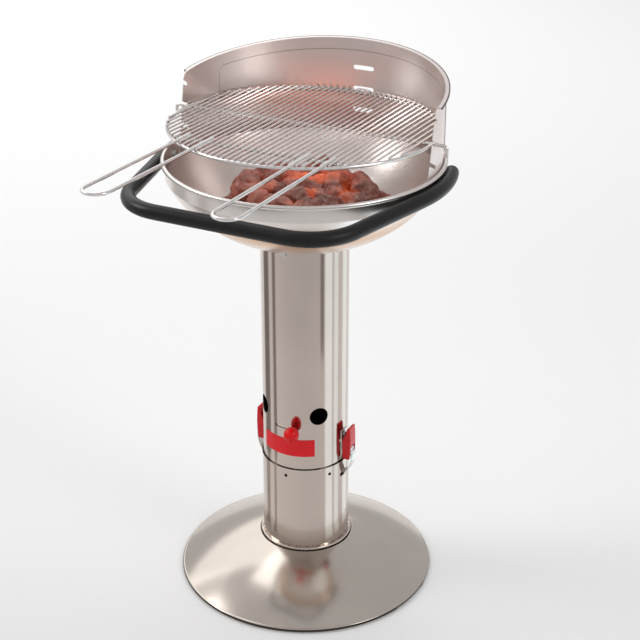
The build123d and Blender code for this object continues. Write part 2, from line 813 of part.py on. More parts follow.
# Latch levers: bowed plastic shells, hollow behind, notched below for the hook
lever_top = lever_z + lever_height
lever_mid = lever_z + lever_height / 2
lever_x = column_r + lever_out
pocket_x = lever_x - lever_face
pocket_top = lever_top - lever_tab_drop
with BuildPart() as latch_lever_right:
    with BuildSketch(Plane.XZ):
        with BuildLine():
            ThreePointArc((lever_x, lever_z), (lever_x + lever_bow, lever_mid), (lever_x, lever_top))
            Polyline(
                (lever_x, lever_top),
                (column_r + lever_tab_in, lever_top - lever_face),
                (column_r + lever_tab_in - lever_bow, pocket_top),
                (column_r + lever_in, lever_z + lever_shoulder),
                (column_r + lever_in, lever_z),
                (lever_x, lever_z),
            )
        make_face()
    extrude(amount=latch_w / 2, both=True)
    outer_face = latch_lever_right.faces().filter_by(GeomType.CYLINDER)[0]
    long_edges = outer_face.edges().filter_by(GeomType.CIRCLE)
    fillet(long_edges, radius=lever_edge_r)
    tip_edges = latch_lever_right.edges().filter_by(Axis.Y).sort_by(Axis.Z)[-2:]
    fillet(tip_edges, radius=lever_tip_r)
    with BuildSketch(Plane.XZ):
        with BuildLine():
            ThreePointArc(
                (pocket_x, lever_z - lever_face),
                (pocket_x + lever_bow, lever_mid),
                (pocket_x, pocket_top),
            )
            Polyline(
                (pocket_x, pocket_top),
                (column_r, pocket_top),
                (column_r, lever_z - lever_face),
                (pocket_x, lever_z - lever_face),
            )
        make_face()
    extrude(amount=latch_w / 2 - lever_wall, both=True, mode=Mode.SUBTRACT)
    with BuildSketch(Plane.YZ.offset(column_r)):
        with Locations((0, lever_z)):
            Rectangle(lever_notch_w, 2 * lever_notch_h)
            Rectangle(latch_w - 2 * lever_wall, 2 * (pivot_rise + ear_eye_r + ear_fit))
    extrude(amount=2 * lever_out, mode=Mode.SUBTRACT)
    with BuildSketch(Plane.XZ):
        with Locations((pivot_x, pivot_z), (link_x, link_z)):
            Circle(pin_r + pin_fit)
    extrude(amount=pin_half + pin_fit, both=True, mode=Mode.SUBTRACT)
latch_lever_right.part.label = "latch_lever_right"
export_step(latch_lever_right.part, "parts/latch_lever_right.step")

with BuildPart() as latch_lever_left:
    mirror(latch_lever_right.part, about=Plane.YZ)
latch_lever_left.part.label = "latch_lever_left"
export_step(latch_lever_left.part, "parts/latch_lever_left.step")

with BuildPart() as hook_pin_right:
    with BuildSketch(Plane.XZ):
        with Locations((link_x, link_z)):
            Circle(pin_r)
    extrude(amount=pin_half, both=True)
hook_pin_right.part.label = "hook_pin_right"
export_step(hook_pin_right.part, "parts/hook_pin_right.step")

with BuildPart() as hook_pin_left:
    mirror(hook_pin_right.part, about=Plane.YZ)
hook_pin_left.part.label = "hook_pin_left"
export_step(hook_pin_left.part, "parts/hook_pin_left.step")

# Latch hooks: bent straps from the lever down into the bucket's keeper slots
hook_x = column_r + hook_out
tip_z = hook_slot_top - hook_slot_gap - hook_t / 2
with BuildPart() as latch_hook_right:
    with BuildSketch(Plane.XZ):
        with BuildLine():
            FilletPolyline(
                (link_x, link_z),
                (hook_x - hook_t, link_z - hook_elbow),
                (hook_x, link_z - 2 * hook_elbow),
                (hook_x, bucket_top + hook_t),
                (bucket_r + hook_knee_out, tip_z + hook_knee_rise),
                (bucket_r + hook_foot_out, tip_z),
                (bucket_inner_r - hook_tip_in, tip_z),
                radius=hook_bend,
            )
            offset(amount=hook_t / 2)
        make_face()
        with Locations((link_x, link_z)):
            Circle(hook_eye_r)
            Circle(pin_r + pin_fit, mode=Mode.SUBTRACT)
    extrude(amount=hook_w / 2, both=True)
latch_hook_right.part.label = "latch_hook_right"
export_step(latch_hook_right.part, "parts/latch_hook_right.step")

with BuildPart() as latch_hook_left:
    mirror(latch_hook_right.part, about=Plane.YZ)
latch_hook_left.part.label = "latch_hook_left"
export_step(latch_hook_left.part, "parts/latch_hook_left.step")

# Cooking grid: rim ring, bars on top, cross wires, side hooks, rear tongue and two loops.
# It is drawn level, then hung on its side hooks with its back a little lower than its front.
def hang(piece, name):
    hung = grid_hang * piece.part
    hung.label = name
    export_step(hung, f"parts/{name}.step")


with BuildPart() as grid_rim:
    with BuildSketch(Plane.XZ):
        with Locations((grid_ring_r, grid_z)):
            Circle(ring_wire_r)
    revolve(axis=Axis.Z)
hang(grid_rim, "grid_rim")

with BuildPart() as rim_clearance:
    with BuildSketch(Plane.XZ):
        with Locations((grid_ring_r, grid_z)):
            Circle(ring_wire_r + weld_gap)
    revolve(axis=Axis.Z)

bars_per_side = int((grid_ring_r - bar_edge) / bar_pitch + 0.5)
with BuildPart() as grid_bars:
    for index in range(-bars_per_side, bars_per_side):
        bar_x = (index + 0.5) * bar_pitch
        with BuildSketch(Plane.XZ):
            with Locations((bar_x, bar_z)):
                Circle(bar_wire_r)
        extrude(amount=sqrt(grid_ring_r**2 - bar_x**2) + bar_overhang, both=True)
hang(grid_bars, "grid_bars")

with BuildPart() as grid_cross_wires:
    for wire_y in (hanger_y, front_wire_y):
        with BuildSketch(Plane.YZ):
            with Locations((wire_y, grid_z)):
                Circle(ring_wire_r)
        extrude(amount=sqrt(grid_ring_r**2 - wire_y**2), both=True)
    add(rim_clearance.part, mode=Mode.SUBTRACT)
hang(grid_cross_wires, "grid_cross_wires")

side_hook_in = sqrt(grid_ring_r**2 - hanger_y**2)
side_hook_out = screen_r + hook_reach
with BuildPart() as grid_side_hooks:
    with BuildLine(Plane.XZ.offset(-hanger_y)) as side_hook_path:
        FilletPolyline(
            (side_hook_in, grid_z),
            (side_hook_out, grid_z),
            (side_hook_out, grid_z - hook_drop),
            radius=hook_bend_r,
        )
    with BuildSketch(Plane.YZ.offset(side_hook_in)):
        with Locations((hanger_y, grid_z)):
            Circle(ring_wire_r)
    sweep(path=side_hook_path.wire())
    add(rim_clearance.part, mode=Mode.SUBTRACT)
    mirror(grid_side_hooks.part, about=Plane.YZ)
hang(grid_side_hooks, "grid_side_hooks")

loop_in_x = loop_near_gap * bar_pitch
loop_out_x = loop_far_gap * bar_pitch
loop_end_y = front_wire_y + loop_end_past
loop_front_y = -grid_ring_r - loop_reach
loop_bend_r = (loop_out_x - loop_in_x) / 2
loop_bend_y = loop_front_y + loop_bend_r
with BuildPart() as grid_handle_right:
    with BuildLine(Plane.XY.offset(loop_z)) as loop_path:
        Line((loop_in_x, loop_end_y), (loop_in_x, loop_bend_y))
        ThreePointArc(
            (loop_in_x, loop_bend_y),
            (loop_in_x + loop_bend_r, loop_front_y),
            (loop_out_x, loop_bend_y),
        )
        Line((loop_out_x, loop_bend_y), (loop_out_x, loop_end_y))
    with BuildSketch(Plane.XZ.offset(-loop_end_y)):
        with Locations((loop_in_x, loop_z)):
            Circle(ring_wire_r)
    sweep(path=loop_path.wire())
hang(grid_handle_right, "grid_handle_right")

with BuildPart() as grid_handle_left:
    mirror(grid_handle_right.part, about=Plane.YZ)
hang(grid_handle_left, "grid_handle_left")

tongue_start_y = grid_ring_r - tongue_in
with BuildPart() as grid_rear_tongue:
    with BuildLine(Plane.XY.offset(bar_z)) as tongue_path:
        FilletPolyline(
            (-bar_pitch, tongue_start_y),
            (-bar_pitch, tongue_y),
            (bar_pitch, tongue_y),
            (bar_pitch, tongue_start_y),
            radius=tongue_bend_r,
        )
    with BuildSketch(Plane.XZ.offset(-tongue_start_y)):
        with Locations((-bar_pitch, bar_z)):
            Circle(bar_wire_r)
    sweep(path=tongue_path.wire())
hang(grid_rear_tongue, "grid_rear_tongue")

# Charcoal grate: a wire ring that rests on the bowl's curve, with bars across it
grate_ring_r = grate_r - grate_wire_r
grate_reach = bowl_curve_r - bowl_sheet - grate_wire_r - seat_gap
grate_z = bowl_centre_z - sqrt(grate_reach**2 - (grate_ring_r - bowl_centre_r) ** 2)
grate_bar_z = grate_z + grate_wire_r + grate_bar_r + weld_gap
with BuildPart() as grate_rim:
    with BuildSketch(Plane.XZ):
        with Locations((grate_ring_r, grate_z)):
            Circle(grate_wire_r)
    revolve(axis=Axis.Z)
grate_rim.part.label = "grate_rim"
export_step(grate_rim.part, "parts/grate_rim.step")

with BuildPart() as grate_bars:
    for index in range(grate_bar_count):
        bar_x = (index - (grate_bar_count - 1) / 2) * grate_pitch
        with BuildSketch(Plane.XZ):
            with Locations((bar_x, grate_bar_z)):
                Circle(grate_bar_r)
        extrude(amount=sqrt(grate_ring_r**2 - bar_x**2), both=True)
grate_bars.part.label = "grate_bars"
export_step(grate_bars.part, "parts/grate_bars.step")

# Coal lumps: two layers of six-sided lumps tapering to both ends
coal_low_z = grate_bar_z + grate_bar_r + seat_gap + coal_h / 2
coal_high_z = coal_low_z + coal_h + seat_gap
coal_rings = (
    (0, 1, coal_low_z),
    (coal_low_inner_r, 6, coal_low_z),
    (coal_low_outer_r, 12, coal_low_z),
    (coal_high_inner_r, 3, coal_high_z),
    (coal_high_outer_r, 8, coal_high_z),
)
with BuildPart() as coal_lumps:
    for ring_r, ring_count, middle_z in coal_rings:
        for way in (1, -1):
            with BuildSketch(Plane.XY.offset(middle_z)):
                with PolarLocations(ring_r, ring_count):
                    RegularPolygon(coal_r, 6)
            extrude(amount=way * coal_h / 2, taper=coal_taper)
coal_lumps.part.label = "coal_lumps"
export_step(coal_lumps.part, "parts/coal_lumps.step")
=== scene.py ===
import math
import random

import bpy
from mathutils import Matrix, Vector


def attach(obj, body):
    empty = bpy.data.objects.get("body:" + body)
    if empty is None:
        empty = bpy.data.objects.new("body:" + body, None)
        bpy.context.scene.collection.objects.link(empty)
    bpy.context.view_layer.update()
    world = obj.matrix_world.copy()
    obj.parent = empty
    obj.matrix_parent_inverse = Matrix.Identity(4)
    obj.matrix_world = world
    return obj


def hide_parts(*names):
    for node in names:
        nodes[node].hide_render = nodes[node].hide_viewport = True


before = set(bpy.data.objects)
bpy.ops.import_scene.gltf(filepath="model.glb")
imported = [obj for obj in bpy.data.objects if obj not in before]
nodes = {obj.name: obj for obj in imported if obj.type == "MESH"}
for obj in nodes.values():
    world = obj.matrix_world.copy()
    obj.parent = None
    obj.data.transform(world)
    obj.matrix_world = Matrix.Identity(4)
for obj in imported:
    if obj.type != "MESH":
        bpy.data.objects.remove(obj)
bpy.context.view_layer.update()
columnRadius = max(vertex.co.xy.length for vertex in nodes["column_tube"].data.vertices)
print("frame loaded:", len(nodes), "CAD nodes, column radius", round(columnRadius, 4))


# small helpers

def clearSelection():
    if bpy.context.object and bpy.context.object.mode != "OBJECT":
        bpy.ops.object.mode_set(mode="OBJECT")
    bpy.ops.object.select_all(action="DESELECT")


def activate(obj):
    clearSelection()
    obj.select_set(True)
    bpy.context.view_layer.objects.active = obj


def applyModifiers(obj):
    activate(obj)
    for modifier in list(obj.modifiers):
        bpy.ops.object.modifier_apply(modifier=modifier.name)


def settle(obj):
    # place, turn and size go into the mesh, so the object sits at the origin
    activate(obj)
    bpy.ops.object.transform_apply(location=True, rotation=True, scale=True)


# material building blocks

def startMaterial(name):
    mat = bpy.data.materials.new(name)
    mat.use_nodes = True
    tree = mat.node_tree
    return mat, tree, tree.nodes["Principled BSDF"]


def startMetal(name):
    mat, tree, shader = startMaterial(name)
    shader.inputs["Metallic"].default_value = 1.0
    return mat, tree, shader


def addNode(tree, kind, **settings):
    node = tree.nodes.new(kind)
    for key, value in settings.items():
        if hasattr(node, key):
            setattr(node, key, value)
        else:
            node.inputs[key].default_value = value
    return node


def mathStep(tree, operation, *values):
    node = addNode(tree, "ShaderNodeMath", operation=operation)
    for socket, value in zip(node.inputs, values):
        if isinstance(value, (int, float)):
            socket.default_value = value
        else:
            tree.links.new(value, socket)
    return node.outputs[0]


def diagonal(tree, first, second):
    # long side of a right triangle with these two short ones
    squares = mathStep(tree, "ADD", mathStep(tree, "MULTIPLY", first, first),
                       mathStep(tree, "MULTIPLY", second, second))
    return mathStep(tree, "SQRT", squares)


def spread(tree, value, fromLow, fromHigh, toLow=0.0, toHigh=1.0):
    limits = {"From Min": fromLow, "From Max": fromHigh, "To Min": toLow, "To Max": toHigh}
    node = addNode(tree, "ShaderNodeMapRange", **limits)
    tree.links.new(value, node.inputs["Value"])
    return node.outputs["Result"]


def mixColour(tree, factor, first, second):
    node = addNode(tree, "ShaderNodeMix", data_type="RGBA")
    sockets = (node.inputs[0], node.inputs[6], node.inputs[7])  # the factor and the two colours
    for socket, value in zip(sockets, (factor, first, second)):
        if isinstance(value, tuple):
            socket.default_value = (*value, 1.0)
        else:
            tree.links.new(value, socket)
    return node.outputs[2]


def objectPoint(tree, scale=(1.0, 1.0, 1.0)):
    coords = addNode(tree, "ShaderNodeTexCoord")
    mapping = addNode(tree, "ShaderNodeMapping", Scale=scale)
    tree.links.new(coords.outputs["Object"], mapping.inputs["Vector"])
    return mapping.outputs["Vector"]


def parted(tree, source):
    # X, Y and Z of the place ("Object") or of the way a face looks ("Normal")
    coords = addNode(tree, "ShaderNodeTexCoord")
    parts = addNode(tree, "ShaderNodeSeparateXYZ")
    tree.links.new(coords.outputs[source], parts.inputs[0])
    return parts.outputs


def noise(tree, vector, scale, detail=3.0, roughness=0.55):
    node = addNode(tree, "ShaderNodeTexNoise", Scale=scale, Detail=detail, Roughness=roughness)
    tree.links.new(vector, node.inputs["Vector"])
    return node.outputs[0]


def bumpFrom(tree, shader, height, strength, distance):
    node = addNode(tree, "ShaderNodeBump", Strength=strength, Distance=distance)
    tree.links.new(height, node.inputs["Height"])
    tree.links.new(node.outputs["Normal"], shader.inputs["Normal"])


def spunPoint(tree, place, radius, ringScale, turnScale):
    # rings round the Z axis: distance and height vary fast, the angle slowly
    angle = mathStep(tree, "ARCTAN2", place["Y"], place["X"])
    wave = mathStep(tree, "MULTIPLY", mathStep(tree, "SINE", angle), turnScale)
    joined = addNode(tree, "ShaderNodeCombineXYZ")
    tree.links.new(mathStep(tree, "MULTIPLY", radius, ringScale), joined.inputs["X"])
    tree.links.new(mathStep(tree, "MULTIPLY", place["Z"], ringScale), joined.inputs["Y"])
    tree.links.new(wave, joined.inputs["Z"])
    return joined.outputs[0]


def outward(tree):
    # how far a face looks away from the Z axis, times its distance from it
    coords = addNode(tree, "ShaderNodeTexCoord")
    flat = addNode(tree, "ShaderNodeVectorMath", operation="MULTIPLY")
    flat.inputs[1].default_value = (1.0, 1.0, 0.0)
    tree.links.new(coords.outputs["Object"], flat.inputs[0])
    toward = addNode(tree, "ShaderNodeVectorMath", operation="DOT_PRODUCT")
    tree.links.new(flat.outputs[0], toward.inputs[0])
    tree.links.new(coords.outputs["Normal"], toward.inputs[1])
    return toward.outputs["Value"]


def innerSide(tree):
    # 1 on faces that look towards the Z axis, 0 on those that look away from it
    return mathStep(tree, "LESS_THAN", outward(tree), 0.0)


noiseReach = (0.3, 0.7)  # most values of a noise lie between these
sheetGrain = 0.0005  # depth of the lines in the steel sheets
# painted shade, used in joints, dimples and folds
paintedShadeColour = (0.05, 0.042, 0.038)


def inPatches(tree, pattern, reach, first, second):
    # the second colour where the pattern is high
    return mixColour(tree, spread(tree, pattern, *reach), first, second)


def finishWith(tree, shader, tone, pattern, rough):
    tree.links.new(tone, shader.inputs["Base Color"])
    tree.links.new(spread(tree, pattern, *noiseReach, *rough), shader.inputs["Roughness"])


# sheet steel of column, damper and bucket: polished, with fine lines round the tube
tubeSteel = {"colour": (0.60, 0.515, 0.46), "dull": (0.56, 0.48, 0.43), "cloud": 9.0,
             "patches": (0.35, 0.7), "rough": (0.11, 0.135), "lines": (3.0, 3.0, 900.0),
             "bump": 0.004, "edge reach": 0.03, "seam top": 0.1}
# darker insides: soot, and painted shade
tubeInside = {"colour": (0.11, 0.10, 0.09), "rough": 0.45}
bucketInside = {"colour": (0.22, 0.20, 0.18), "rough": 0.3}
dimpleRadius = 0.0813  # what lies nearer to the axis on the bucket's outside is a pressed dimple


def makeTubeSteel(name, inside, recess=0.0):
    mat, tree, shader = startMetal(name)
    lines = noise(tree, objectPoint(tree, tubeSteel["lines"]), scale=1.0, detail=2.0)
    cloud = noise(tree, objectPoint(tree), tubeSteel["cloud"], detail=4.0)
    tone = inPatches(tree, cloud, tubeSteel["patches"], tubeSteel["colour"], tubeSteel["dull"])
    # painted shade where an edge was cut, which looks neither in nor out, and in the dimples
    place = parted(tree, "Object")
    cut = mathStep(tree, "LESS_THAN", mathStep(tree, "ABSOLUTE", outward(tree)), tubeSteel["edge reach"])
    dimple = mathStep(tree, "LESS_THAN", diagonal(tree, place["X"], place["Y"]), recess)
    aboveSeam = mathStep(tree, "GREATER_THAN", place["Z"], tubeSteel["seam top"])
    dark = mathStep(tree, "MULTIPLY", mathStep(tree, "MAXIMUM", cut, dimple), aboveSeam)
    tone = mixColour(tree, dark, tone, paintedShadeColour)
    # soot and painted shade on the inside
    hidden = innerSide(tree)
    tone = mixColour(tree, hidden, tone, inside["colour"])
    roughness = mathStep(tree, "ADD", spread(tree, lines, *noiseReach, *tubeSteel["rough"]),
                         mathStep(tree, "MULTIPLY", hidden, inside["rough"]))
    tree.links.new(tone, shader.inputs["Base Color"])
    tree.links.new(roughness, shader.inputs["Roughness"])
    bumpFrom(tree, shader, lines, tubeSteel["bump"], sheetGrain)
    return mat


# spun steel of bowl and foot: rings round the axis
spunSteel = {"rings": 520.0, "turn": 1.3, "cloud": 6.0, "patches": (0.35, 0.7), "bump": 0.004}
bowlLook = {"colour": (0.86, 0.80, 0.765), "dull": (0.80, 0.74, 0.70), "rough": (0.25, 0.27)}
footLook = {"colour": (0.615, 0.55, 0.49), "dull": (0.56, 0.50, 0.445), "rough": (0.165, 0.18)}
# straw tint under the bowl, a heat tint and a painted warm reflection: it grows from top to bottom, and from
# near to far off the axis
heatTintAndReflection = {"colour": (0.72, 0.48, 0.32), "top": 0.800, "bottom": 0.755, "near": 0.150, "far": 0.200}
# painted shade on the foot: a ring round the bucket's seam, and the fold of the hem
footShadeLines = {"ring": 0.0893, "fold height": 0.0042, "fold half": 0.0022}


def makeSpunSteel(name, colour, dull, rough, tint=None, shadeLines=None):
    mat, tree, shader = startMetal(name)
    place = parted(tree, "Object")
    radius = diagonal(tree, place["X"], place["Y"])
    spun = spunPoint(tree, place, radius, spunSteel["rings"], spunSteel["turn"])
    rings = noise(tree, spun, scale=1.0, detail=2.0)
    cloud = noise(tree, objectPoint(tree), spunSteel["cloud"], detail=4.0)
    tone = inPatches(tree, cloud, spunSteel["patches"], colour, dull)
    if tint:
        # heat tint and painted reflection on the bowl's outside
        warm = mathStep(tree, "MULTIPLY", spread(tree, place["Z"], tint["top"], tint["bottom"]),
                        spread(tree, radius, tint["near"], tint["far"]))
        outside = mathStep(tree, "SUBTRACT", 1.0, innerSide(tree))
        tone = mixColour(tree, mathStep(tree, "MULTIPLY", warm, outside), tone, tint["colour"])
    if shadeLines:
        # painted shade in the hem's fold and round the bucket's seam
        fold = mathStep(tree, "COMPARE", place["Z"], shadeLines["fold height"], shadeLines["fold half"])
        around = mathStep(tree, "LESS_THAN", radius, shadeLines["ring"])
        tone = mixColour(tree, mathStep(tree, "MAXIMUM", fold, around), tone, paintedShadeColour)
    finishWith(tree, shader, tone, rings, rough)
    bumpFrom(tree, shader, rings, spunSteel["bump"], sheetGrain)
    return mat


# wind screen: satin sheet brushed along its length
screenSteel = {"colour": (0.88, 0.795, 0.765), "dull": (0.82, 0.735, 0.705), "cloud": 7.0,
               "patches": (0.35, 0.7), "rough": (0.29, 0.305), "lines": (2.0, 2.0, 900.0), "bump": 0.0015}
# painted shade along the edge of the pressed panel, which starts at its front and runs below the lip, and on
# the lip's own edge
crease = {"panel front": 0.094, "panel back": 0.2415, "panel back top": 0.9643,
          "slope": math.tan(math.radians(7.8)), "corner": 0.012, "width": 0.0016, "core": 0.4,
          "dark": 0.5, "lip edge": 0.2466, "painted shade": (0.10, 0.075, 0.065)}


def panelEdge(tree, place):
    # 1 on the panel's edge: distances from its front and top edges, joined by a round corner
    inward = mathStep(tree, "SUBTRACT", place["Y"], crease["panel front"])
    fromBack = mathStep(tree, "SUBTRACT", crease["panel back"], place["Y"])
    drop = mathStep(tree, "MULTIPLY", fromBack, crease["slope"])
    topLine = mathStep(tree, "SUBTRACT", crease["panel back top"], drop)
    below = mathStep(tree, "SUBTRACT", topLine, place["Z"])
    shortIn = mathStep(tree, "SUBTRACT", crease["corner"], inward)
    shortDown = mathStep(tree, "SUBTRACT", crease["corner"], below)
    outer = diagonal(tree, mathStep(tree, "MAXIMUM", shortIn, 0.0),
                     mathStep(tree, "MAXIMUM", shortDown, 0.0))
    inner = mathStep(tree, "MINIMUM", mathStep(tree, "MAXIMUM", shortIn, shortDown), 0.0)
    offEdge = mathStep(tree, "SUBTRACT", mathStep(tree, "ADD", outer, inner), crease["corner"])
    width = crease["width"]
    return spread(tree, mathStep(tree, "ABSOLUTE", offEdge), crease["core"] * width, width, 1.0, 0.0)


def makeScreenSteel(name):
    mat, tree, shader = startMetal(name)
    lines = noise(tree, objectPoint(tree, screenSteel["lines"]), scale=1.0, detail=3.0)
    cloud = noise(tree, objectPoint(tree), screenSteel["cloud"], detail=4.0)
    tone = inPatches(tree, cloud, screenSteel["patches"], screenSteel["colour"], screenSteel["dull"])
    place = parted(tree, "Object")
    lip = mathStep(tree, "GREATER_THAN", diagonal(tree, place["X"], place["Y"]), crease["lip edge"])
    panel = mathStep(tree, "MULTIPLY", panelEdge(tree, place), crease["dark"])
    # painted shade on the panel's edge and the lip's edge
    tone = mixColour(tree, mathStep(tree, "MAXIMUM", panel, lip), tone, crease["painted shade"])
    finishWith(tree, shader, tone, lines, screenSteel["rough"])
    bumpFrom(tree, shader, lines, screenSteel["bump"], sheetGrain)
    return mat


# bright metal of wires, latches and fasteners
chromeLook = {"colour": (0.84, 0.805, 0.785), "dull": (0.74, 0.705, 0.685), "rough": (0.12, 0.22),
              "grain": 120.0}
grateLook = {"colour": (0.42, 0.38, 0.34), "dull": (0.22, 0.17, 0.14), "rough": (0.3, 0.5), "grain": 90.0}
latchLook = {"colour": (0.74, 0.73, 0.72), "dull": (0.60, 0.59, 0.58), "rough": (0.14, 0.28), "grain": 150.0}
zincLook = {"colour": (0.66, 0.66, 0.66), "dull": (0.52, 0.52, 0.53), "rough": (0.2, 0.35), "grain": 200.0}
metalPatches = (0.4, 0.7)


def makeBrightMetal(name, colour, dull, rough, grain):
    mat, tree, shader = startMetal(name)
    cloud = noise(tree, objectPoint(tree), grain, detail=4.0)
    finishWith(tree, shader, inPatches(tree, cloud, metalPatches, colour, dull), cloud, rough)
    return mat


# black powder coat of the handle, and the plugs in its ends
blackSurface = {"cloud": 14.0, "patches": (0.4, 0.75), "gloss": 0.28, "grain depth": 0.0004}
coatLook = {"colour": (0.006, 0.0057, 0.0055), "worn": (0.011, 0.010, 0.0095), "rough": (0.30, 0.42),
            "grain": 1500.0, "bump": 0.12}
plugLook = {"colour": (0.014, 0.014, 0.014), "worn": (0.02, 0.02, 0.02), "rough": (0.5, 0.65),
            "grain": 900.0, "bump": 0.2}


def makeBlackCoat(name, colour, worn, rough, grain, bump):
    mat, tree, shader = startMaterial(name)
    fine = noise(tree, objectPoint(tree), grain, detail=2.0)
    cloud = noise(tree, objectPoint(tree), blackSurface["cloud"], detail=4.0)
    finishWith(tree, shader, inPatches(tree, cloud, blackSurface["patches"], colour, worn), cloud, rough)
    shader.inputs["Specular IOR Level"].default_value = blackSurface["gloss"]
    bumpFrom(tree, shader, fine, bump, blackSurface["grain depth"])
    return mat


# red moulded plastic of levers and knob
redSurface = {"cloud": 40.0, "patches": (0.35, 0.75), "gloss": 0.25, "coat rough": 0.08,
              "grain": 900.0, "bump": 0.03, "grain depth": 0.0003}
leverLook = {"colour": (0.70, 0.010, 0.017), "deep": (0.55, 0.006, 0.011), "rough": (0.16, 0.28), "coat": 0.1}
knobLook = {"colour": (0.80, 0.006, 0.008), "deep": (0.62, 0.003, 0.005), "rough": (0.05, 0.10), "coat": 0.0}


def makeRedPlastic(name, colour, deep, rough, coat):
    mat, tree, shader = startMaterial(name)
    cloud = noise(tree, objectPoint(tree), redSurface["cloud"], detail=3.0)
    finishWith(tree, shader, inPatches(tree, cloud, redSurface["patches"], colour, deep), cloud, rough)
    shader.inputs["Specular IOR Level"].default_value = redSurface["gloss"]
    shader.inputs["Coat Weight"].default_value = coat
    shader.inputs["Coat Roughness"].default_value = redSurface["coat rough"]
    fine = noise(tree, objectPoint(tree), redSurface["grain"], detail=2.0)
    bumpFrom(tree, shader, fine, redSurface["bump"], redSurface["grain depth"])
    return mat


# burning charcoal: brown lumps with ash on what looks up, glowing in patches round a hot spot
charcoal = {"brown": (0.42, 0.145, 0.105), "dark": (0.18, 0.057, 0.043), "blotch": 22.0,
            "patches": (0.38, 0.62), "ash": (0.52, 0.35, 0.31), "ash share": 0.6, "ash slope": 0.3,
            "speckle": 150.0, "speckle reach": (0.4, 0.6), "speckle low": 0.2,
            "rough": 0.85, "bump": 0.35, "grain depth": 0.0015,
            "glow": (1.0, 0.14, 0.025), "strength": 0.55, "ember": 17.0, "ember reach": (0.44, 0.62),
            "hot spot": (0.02, -0.01), "hot reach": 0.11, "hot core": 0.3, "cool glow": 0.06}


def makeCharcoal(name):
    mat, tree, shader = startMaterial(name)
    point = objectPoint(tree)
    blotches = noise(tree, point, charcoal["blotch"], detail=3.0, roughness=0.5)
    speckle = noise(tree, point, charcoal["speckle"], detail=4.0, roughness=0.6)
    embers = noise(tree, point, charcoal["ember"], detail=2.0)
    lookingUp = parted(tree, "Normal")["Z"]
    dust = mathStep(tree, "MULTIPLY",
                    spread(tree, lookingUp, charcoal["ash slope"], 1.0, 0.0, charcoal["ash share"]),
                    spread(tree, speckle, *charcoal["speckle reach"], charcoal["speckle low"], 1.0))
    tone = inPatches(tree, blotches, charcoal["patches"], charcoal["dark"], charcoal["brown"])
    tree.links.new(mixColour(tree, dust, tone, charcoal["ash"]), shader.inputs["Base Color"])
    shader.inputs["Roughness"].default_value = charcoal["rough"]
    bumpFrom(tree, shader, speckle, charcoal["bump"], charcoal["grain depth"])
    place = parted(tree, "Object")
    hotX, hotY = charcoal["hot spot"]
    away = diagonal(tree, mathStep(tree, "SUBTRACT", place["X"], hotX),
                    mathStep(tree, "SUBTRACT", place["Y"], hotY))
    heat = spread(tree, away, charcoal["hot reach"], charcoal["hot core"] * charcoal["hot reach"],
                  charcoal["cool glow"], 1.0)
    glow = mathStep(tree, "MULTIPLY", spread(tree, embers, *charcoal["ember reach"]), heat)
    glow = mathStep(tree, "MULTIPLY", glow, charcoal["strength"])
    shader.inputs["Emission Color"].default_value = (*charcoal["glow"], 1.0)
    tree.links.new(glow, shader.inputs["Emission Strength"])
    return mat


chromeWire = makeBrightMetal("grid chrome", **chromeLook)
grateWire = makeBrightMetal("grate wire", **grateLook)
latchSteel = makeBrightMetal("latch steel", **latchLook)
zincSteel = makeBrightMetal("zinc fasteners", **zincLook)
redGloss = makeRedPlastic("red plastic", **leverLook)
emberCoal = makeCharcoal("burning charcoal")
finishes = {
    "foot_disc": makeSpunSteel("foot steel", **footLook, shadeLines=footShadeLines),
    "ash_bucket": makeTubeSteel("bucket steel", bucketInside, dimpleRadius),
    "column_tube": makeTubeSteel("column steel", tubeInside),
    "damper_ring": makeTubeSteel("damper steel", tubeInside),
    "fire_bowl": makeSpunSteel("bowl steel", **bowlLook, tint=heatTintAndReflection),
    "wind_screen": makeScreenSteel("screen steel"),
    "handle_tube": makeBlackCoat("black powder coat", **coatLook),
    "handle_end_plugs": makeBlackCoat("black plug", **plugLook),
    "damper_knob": makeRedPlastic("red knob", **knobLook),
    "latch_lever_left": redGloss,
    "latch_lever_right": redGloss,
    "latch_base_left": latchSteel,
    "latch_base_right": latchSteel,
    "latch_hook_left": latchSteel,
    "latch_hook_right": latchSteel,
    "grate_rim": grateWire,
    "grate_bars": grateWire,
    "coal_lumps": emberCoal,
}
for nodeName, cadNode in nodes.items():
    # all else is a wire of the grid or a small fastener
    finish = finishes.get(nodeName) or (chromeWire if nodeName.startswith("grid_") else zincSteel)
    for materialSlot in cadNode.material_slots:
        materialSlot.material = finish
print("finishes on all CAD nodes")


# bare red label plate on the front of the column
label = {"half angle": 39.3, "bottom": 0.278, "top": 0.313, "off column": 0.0004, "sheet": 0.00036,
         "points round": 360, "colour": (0.78, 0.012, 0.020), "faded": (0.70, 0.010, 0.016),
         "cloud": 30.0, "patches": (0.35, 0.75), "rough": (0.3, 0.42), "gloss": 0.25}


def makeLabelMaterial(name):
    mat, tree, shader = startMaterial(name)
    cloud = noise(tree, objectPoint(tree), label["cloud"], detail=4.0)
    tone = inPatches(tree, cloud, label["patches"], label["colour"], label["faded"])
    finishWith(tree, shader, tone, cloud, label["rough"])
    shader.inputs["Specular IOR Level"].default_value = label["gloss"]
    return mat


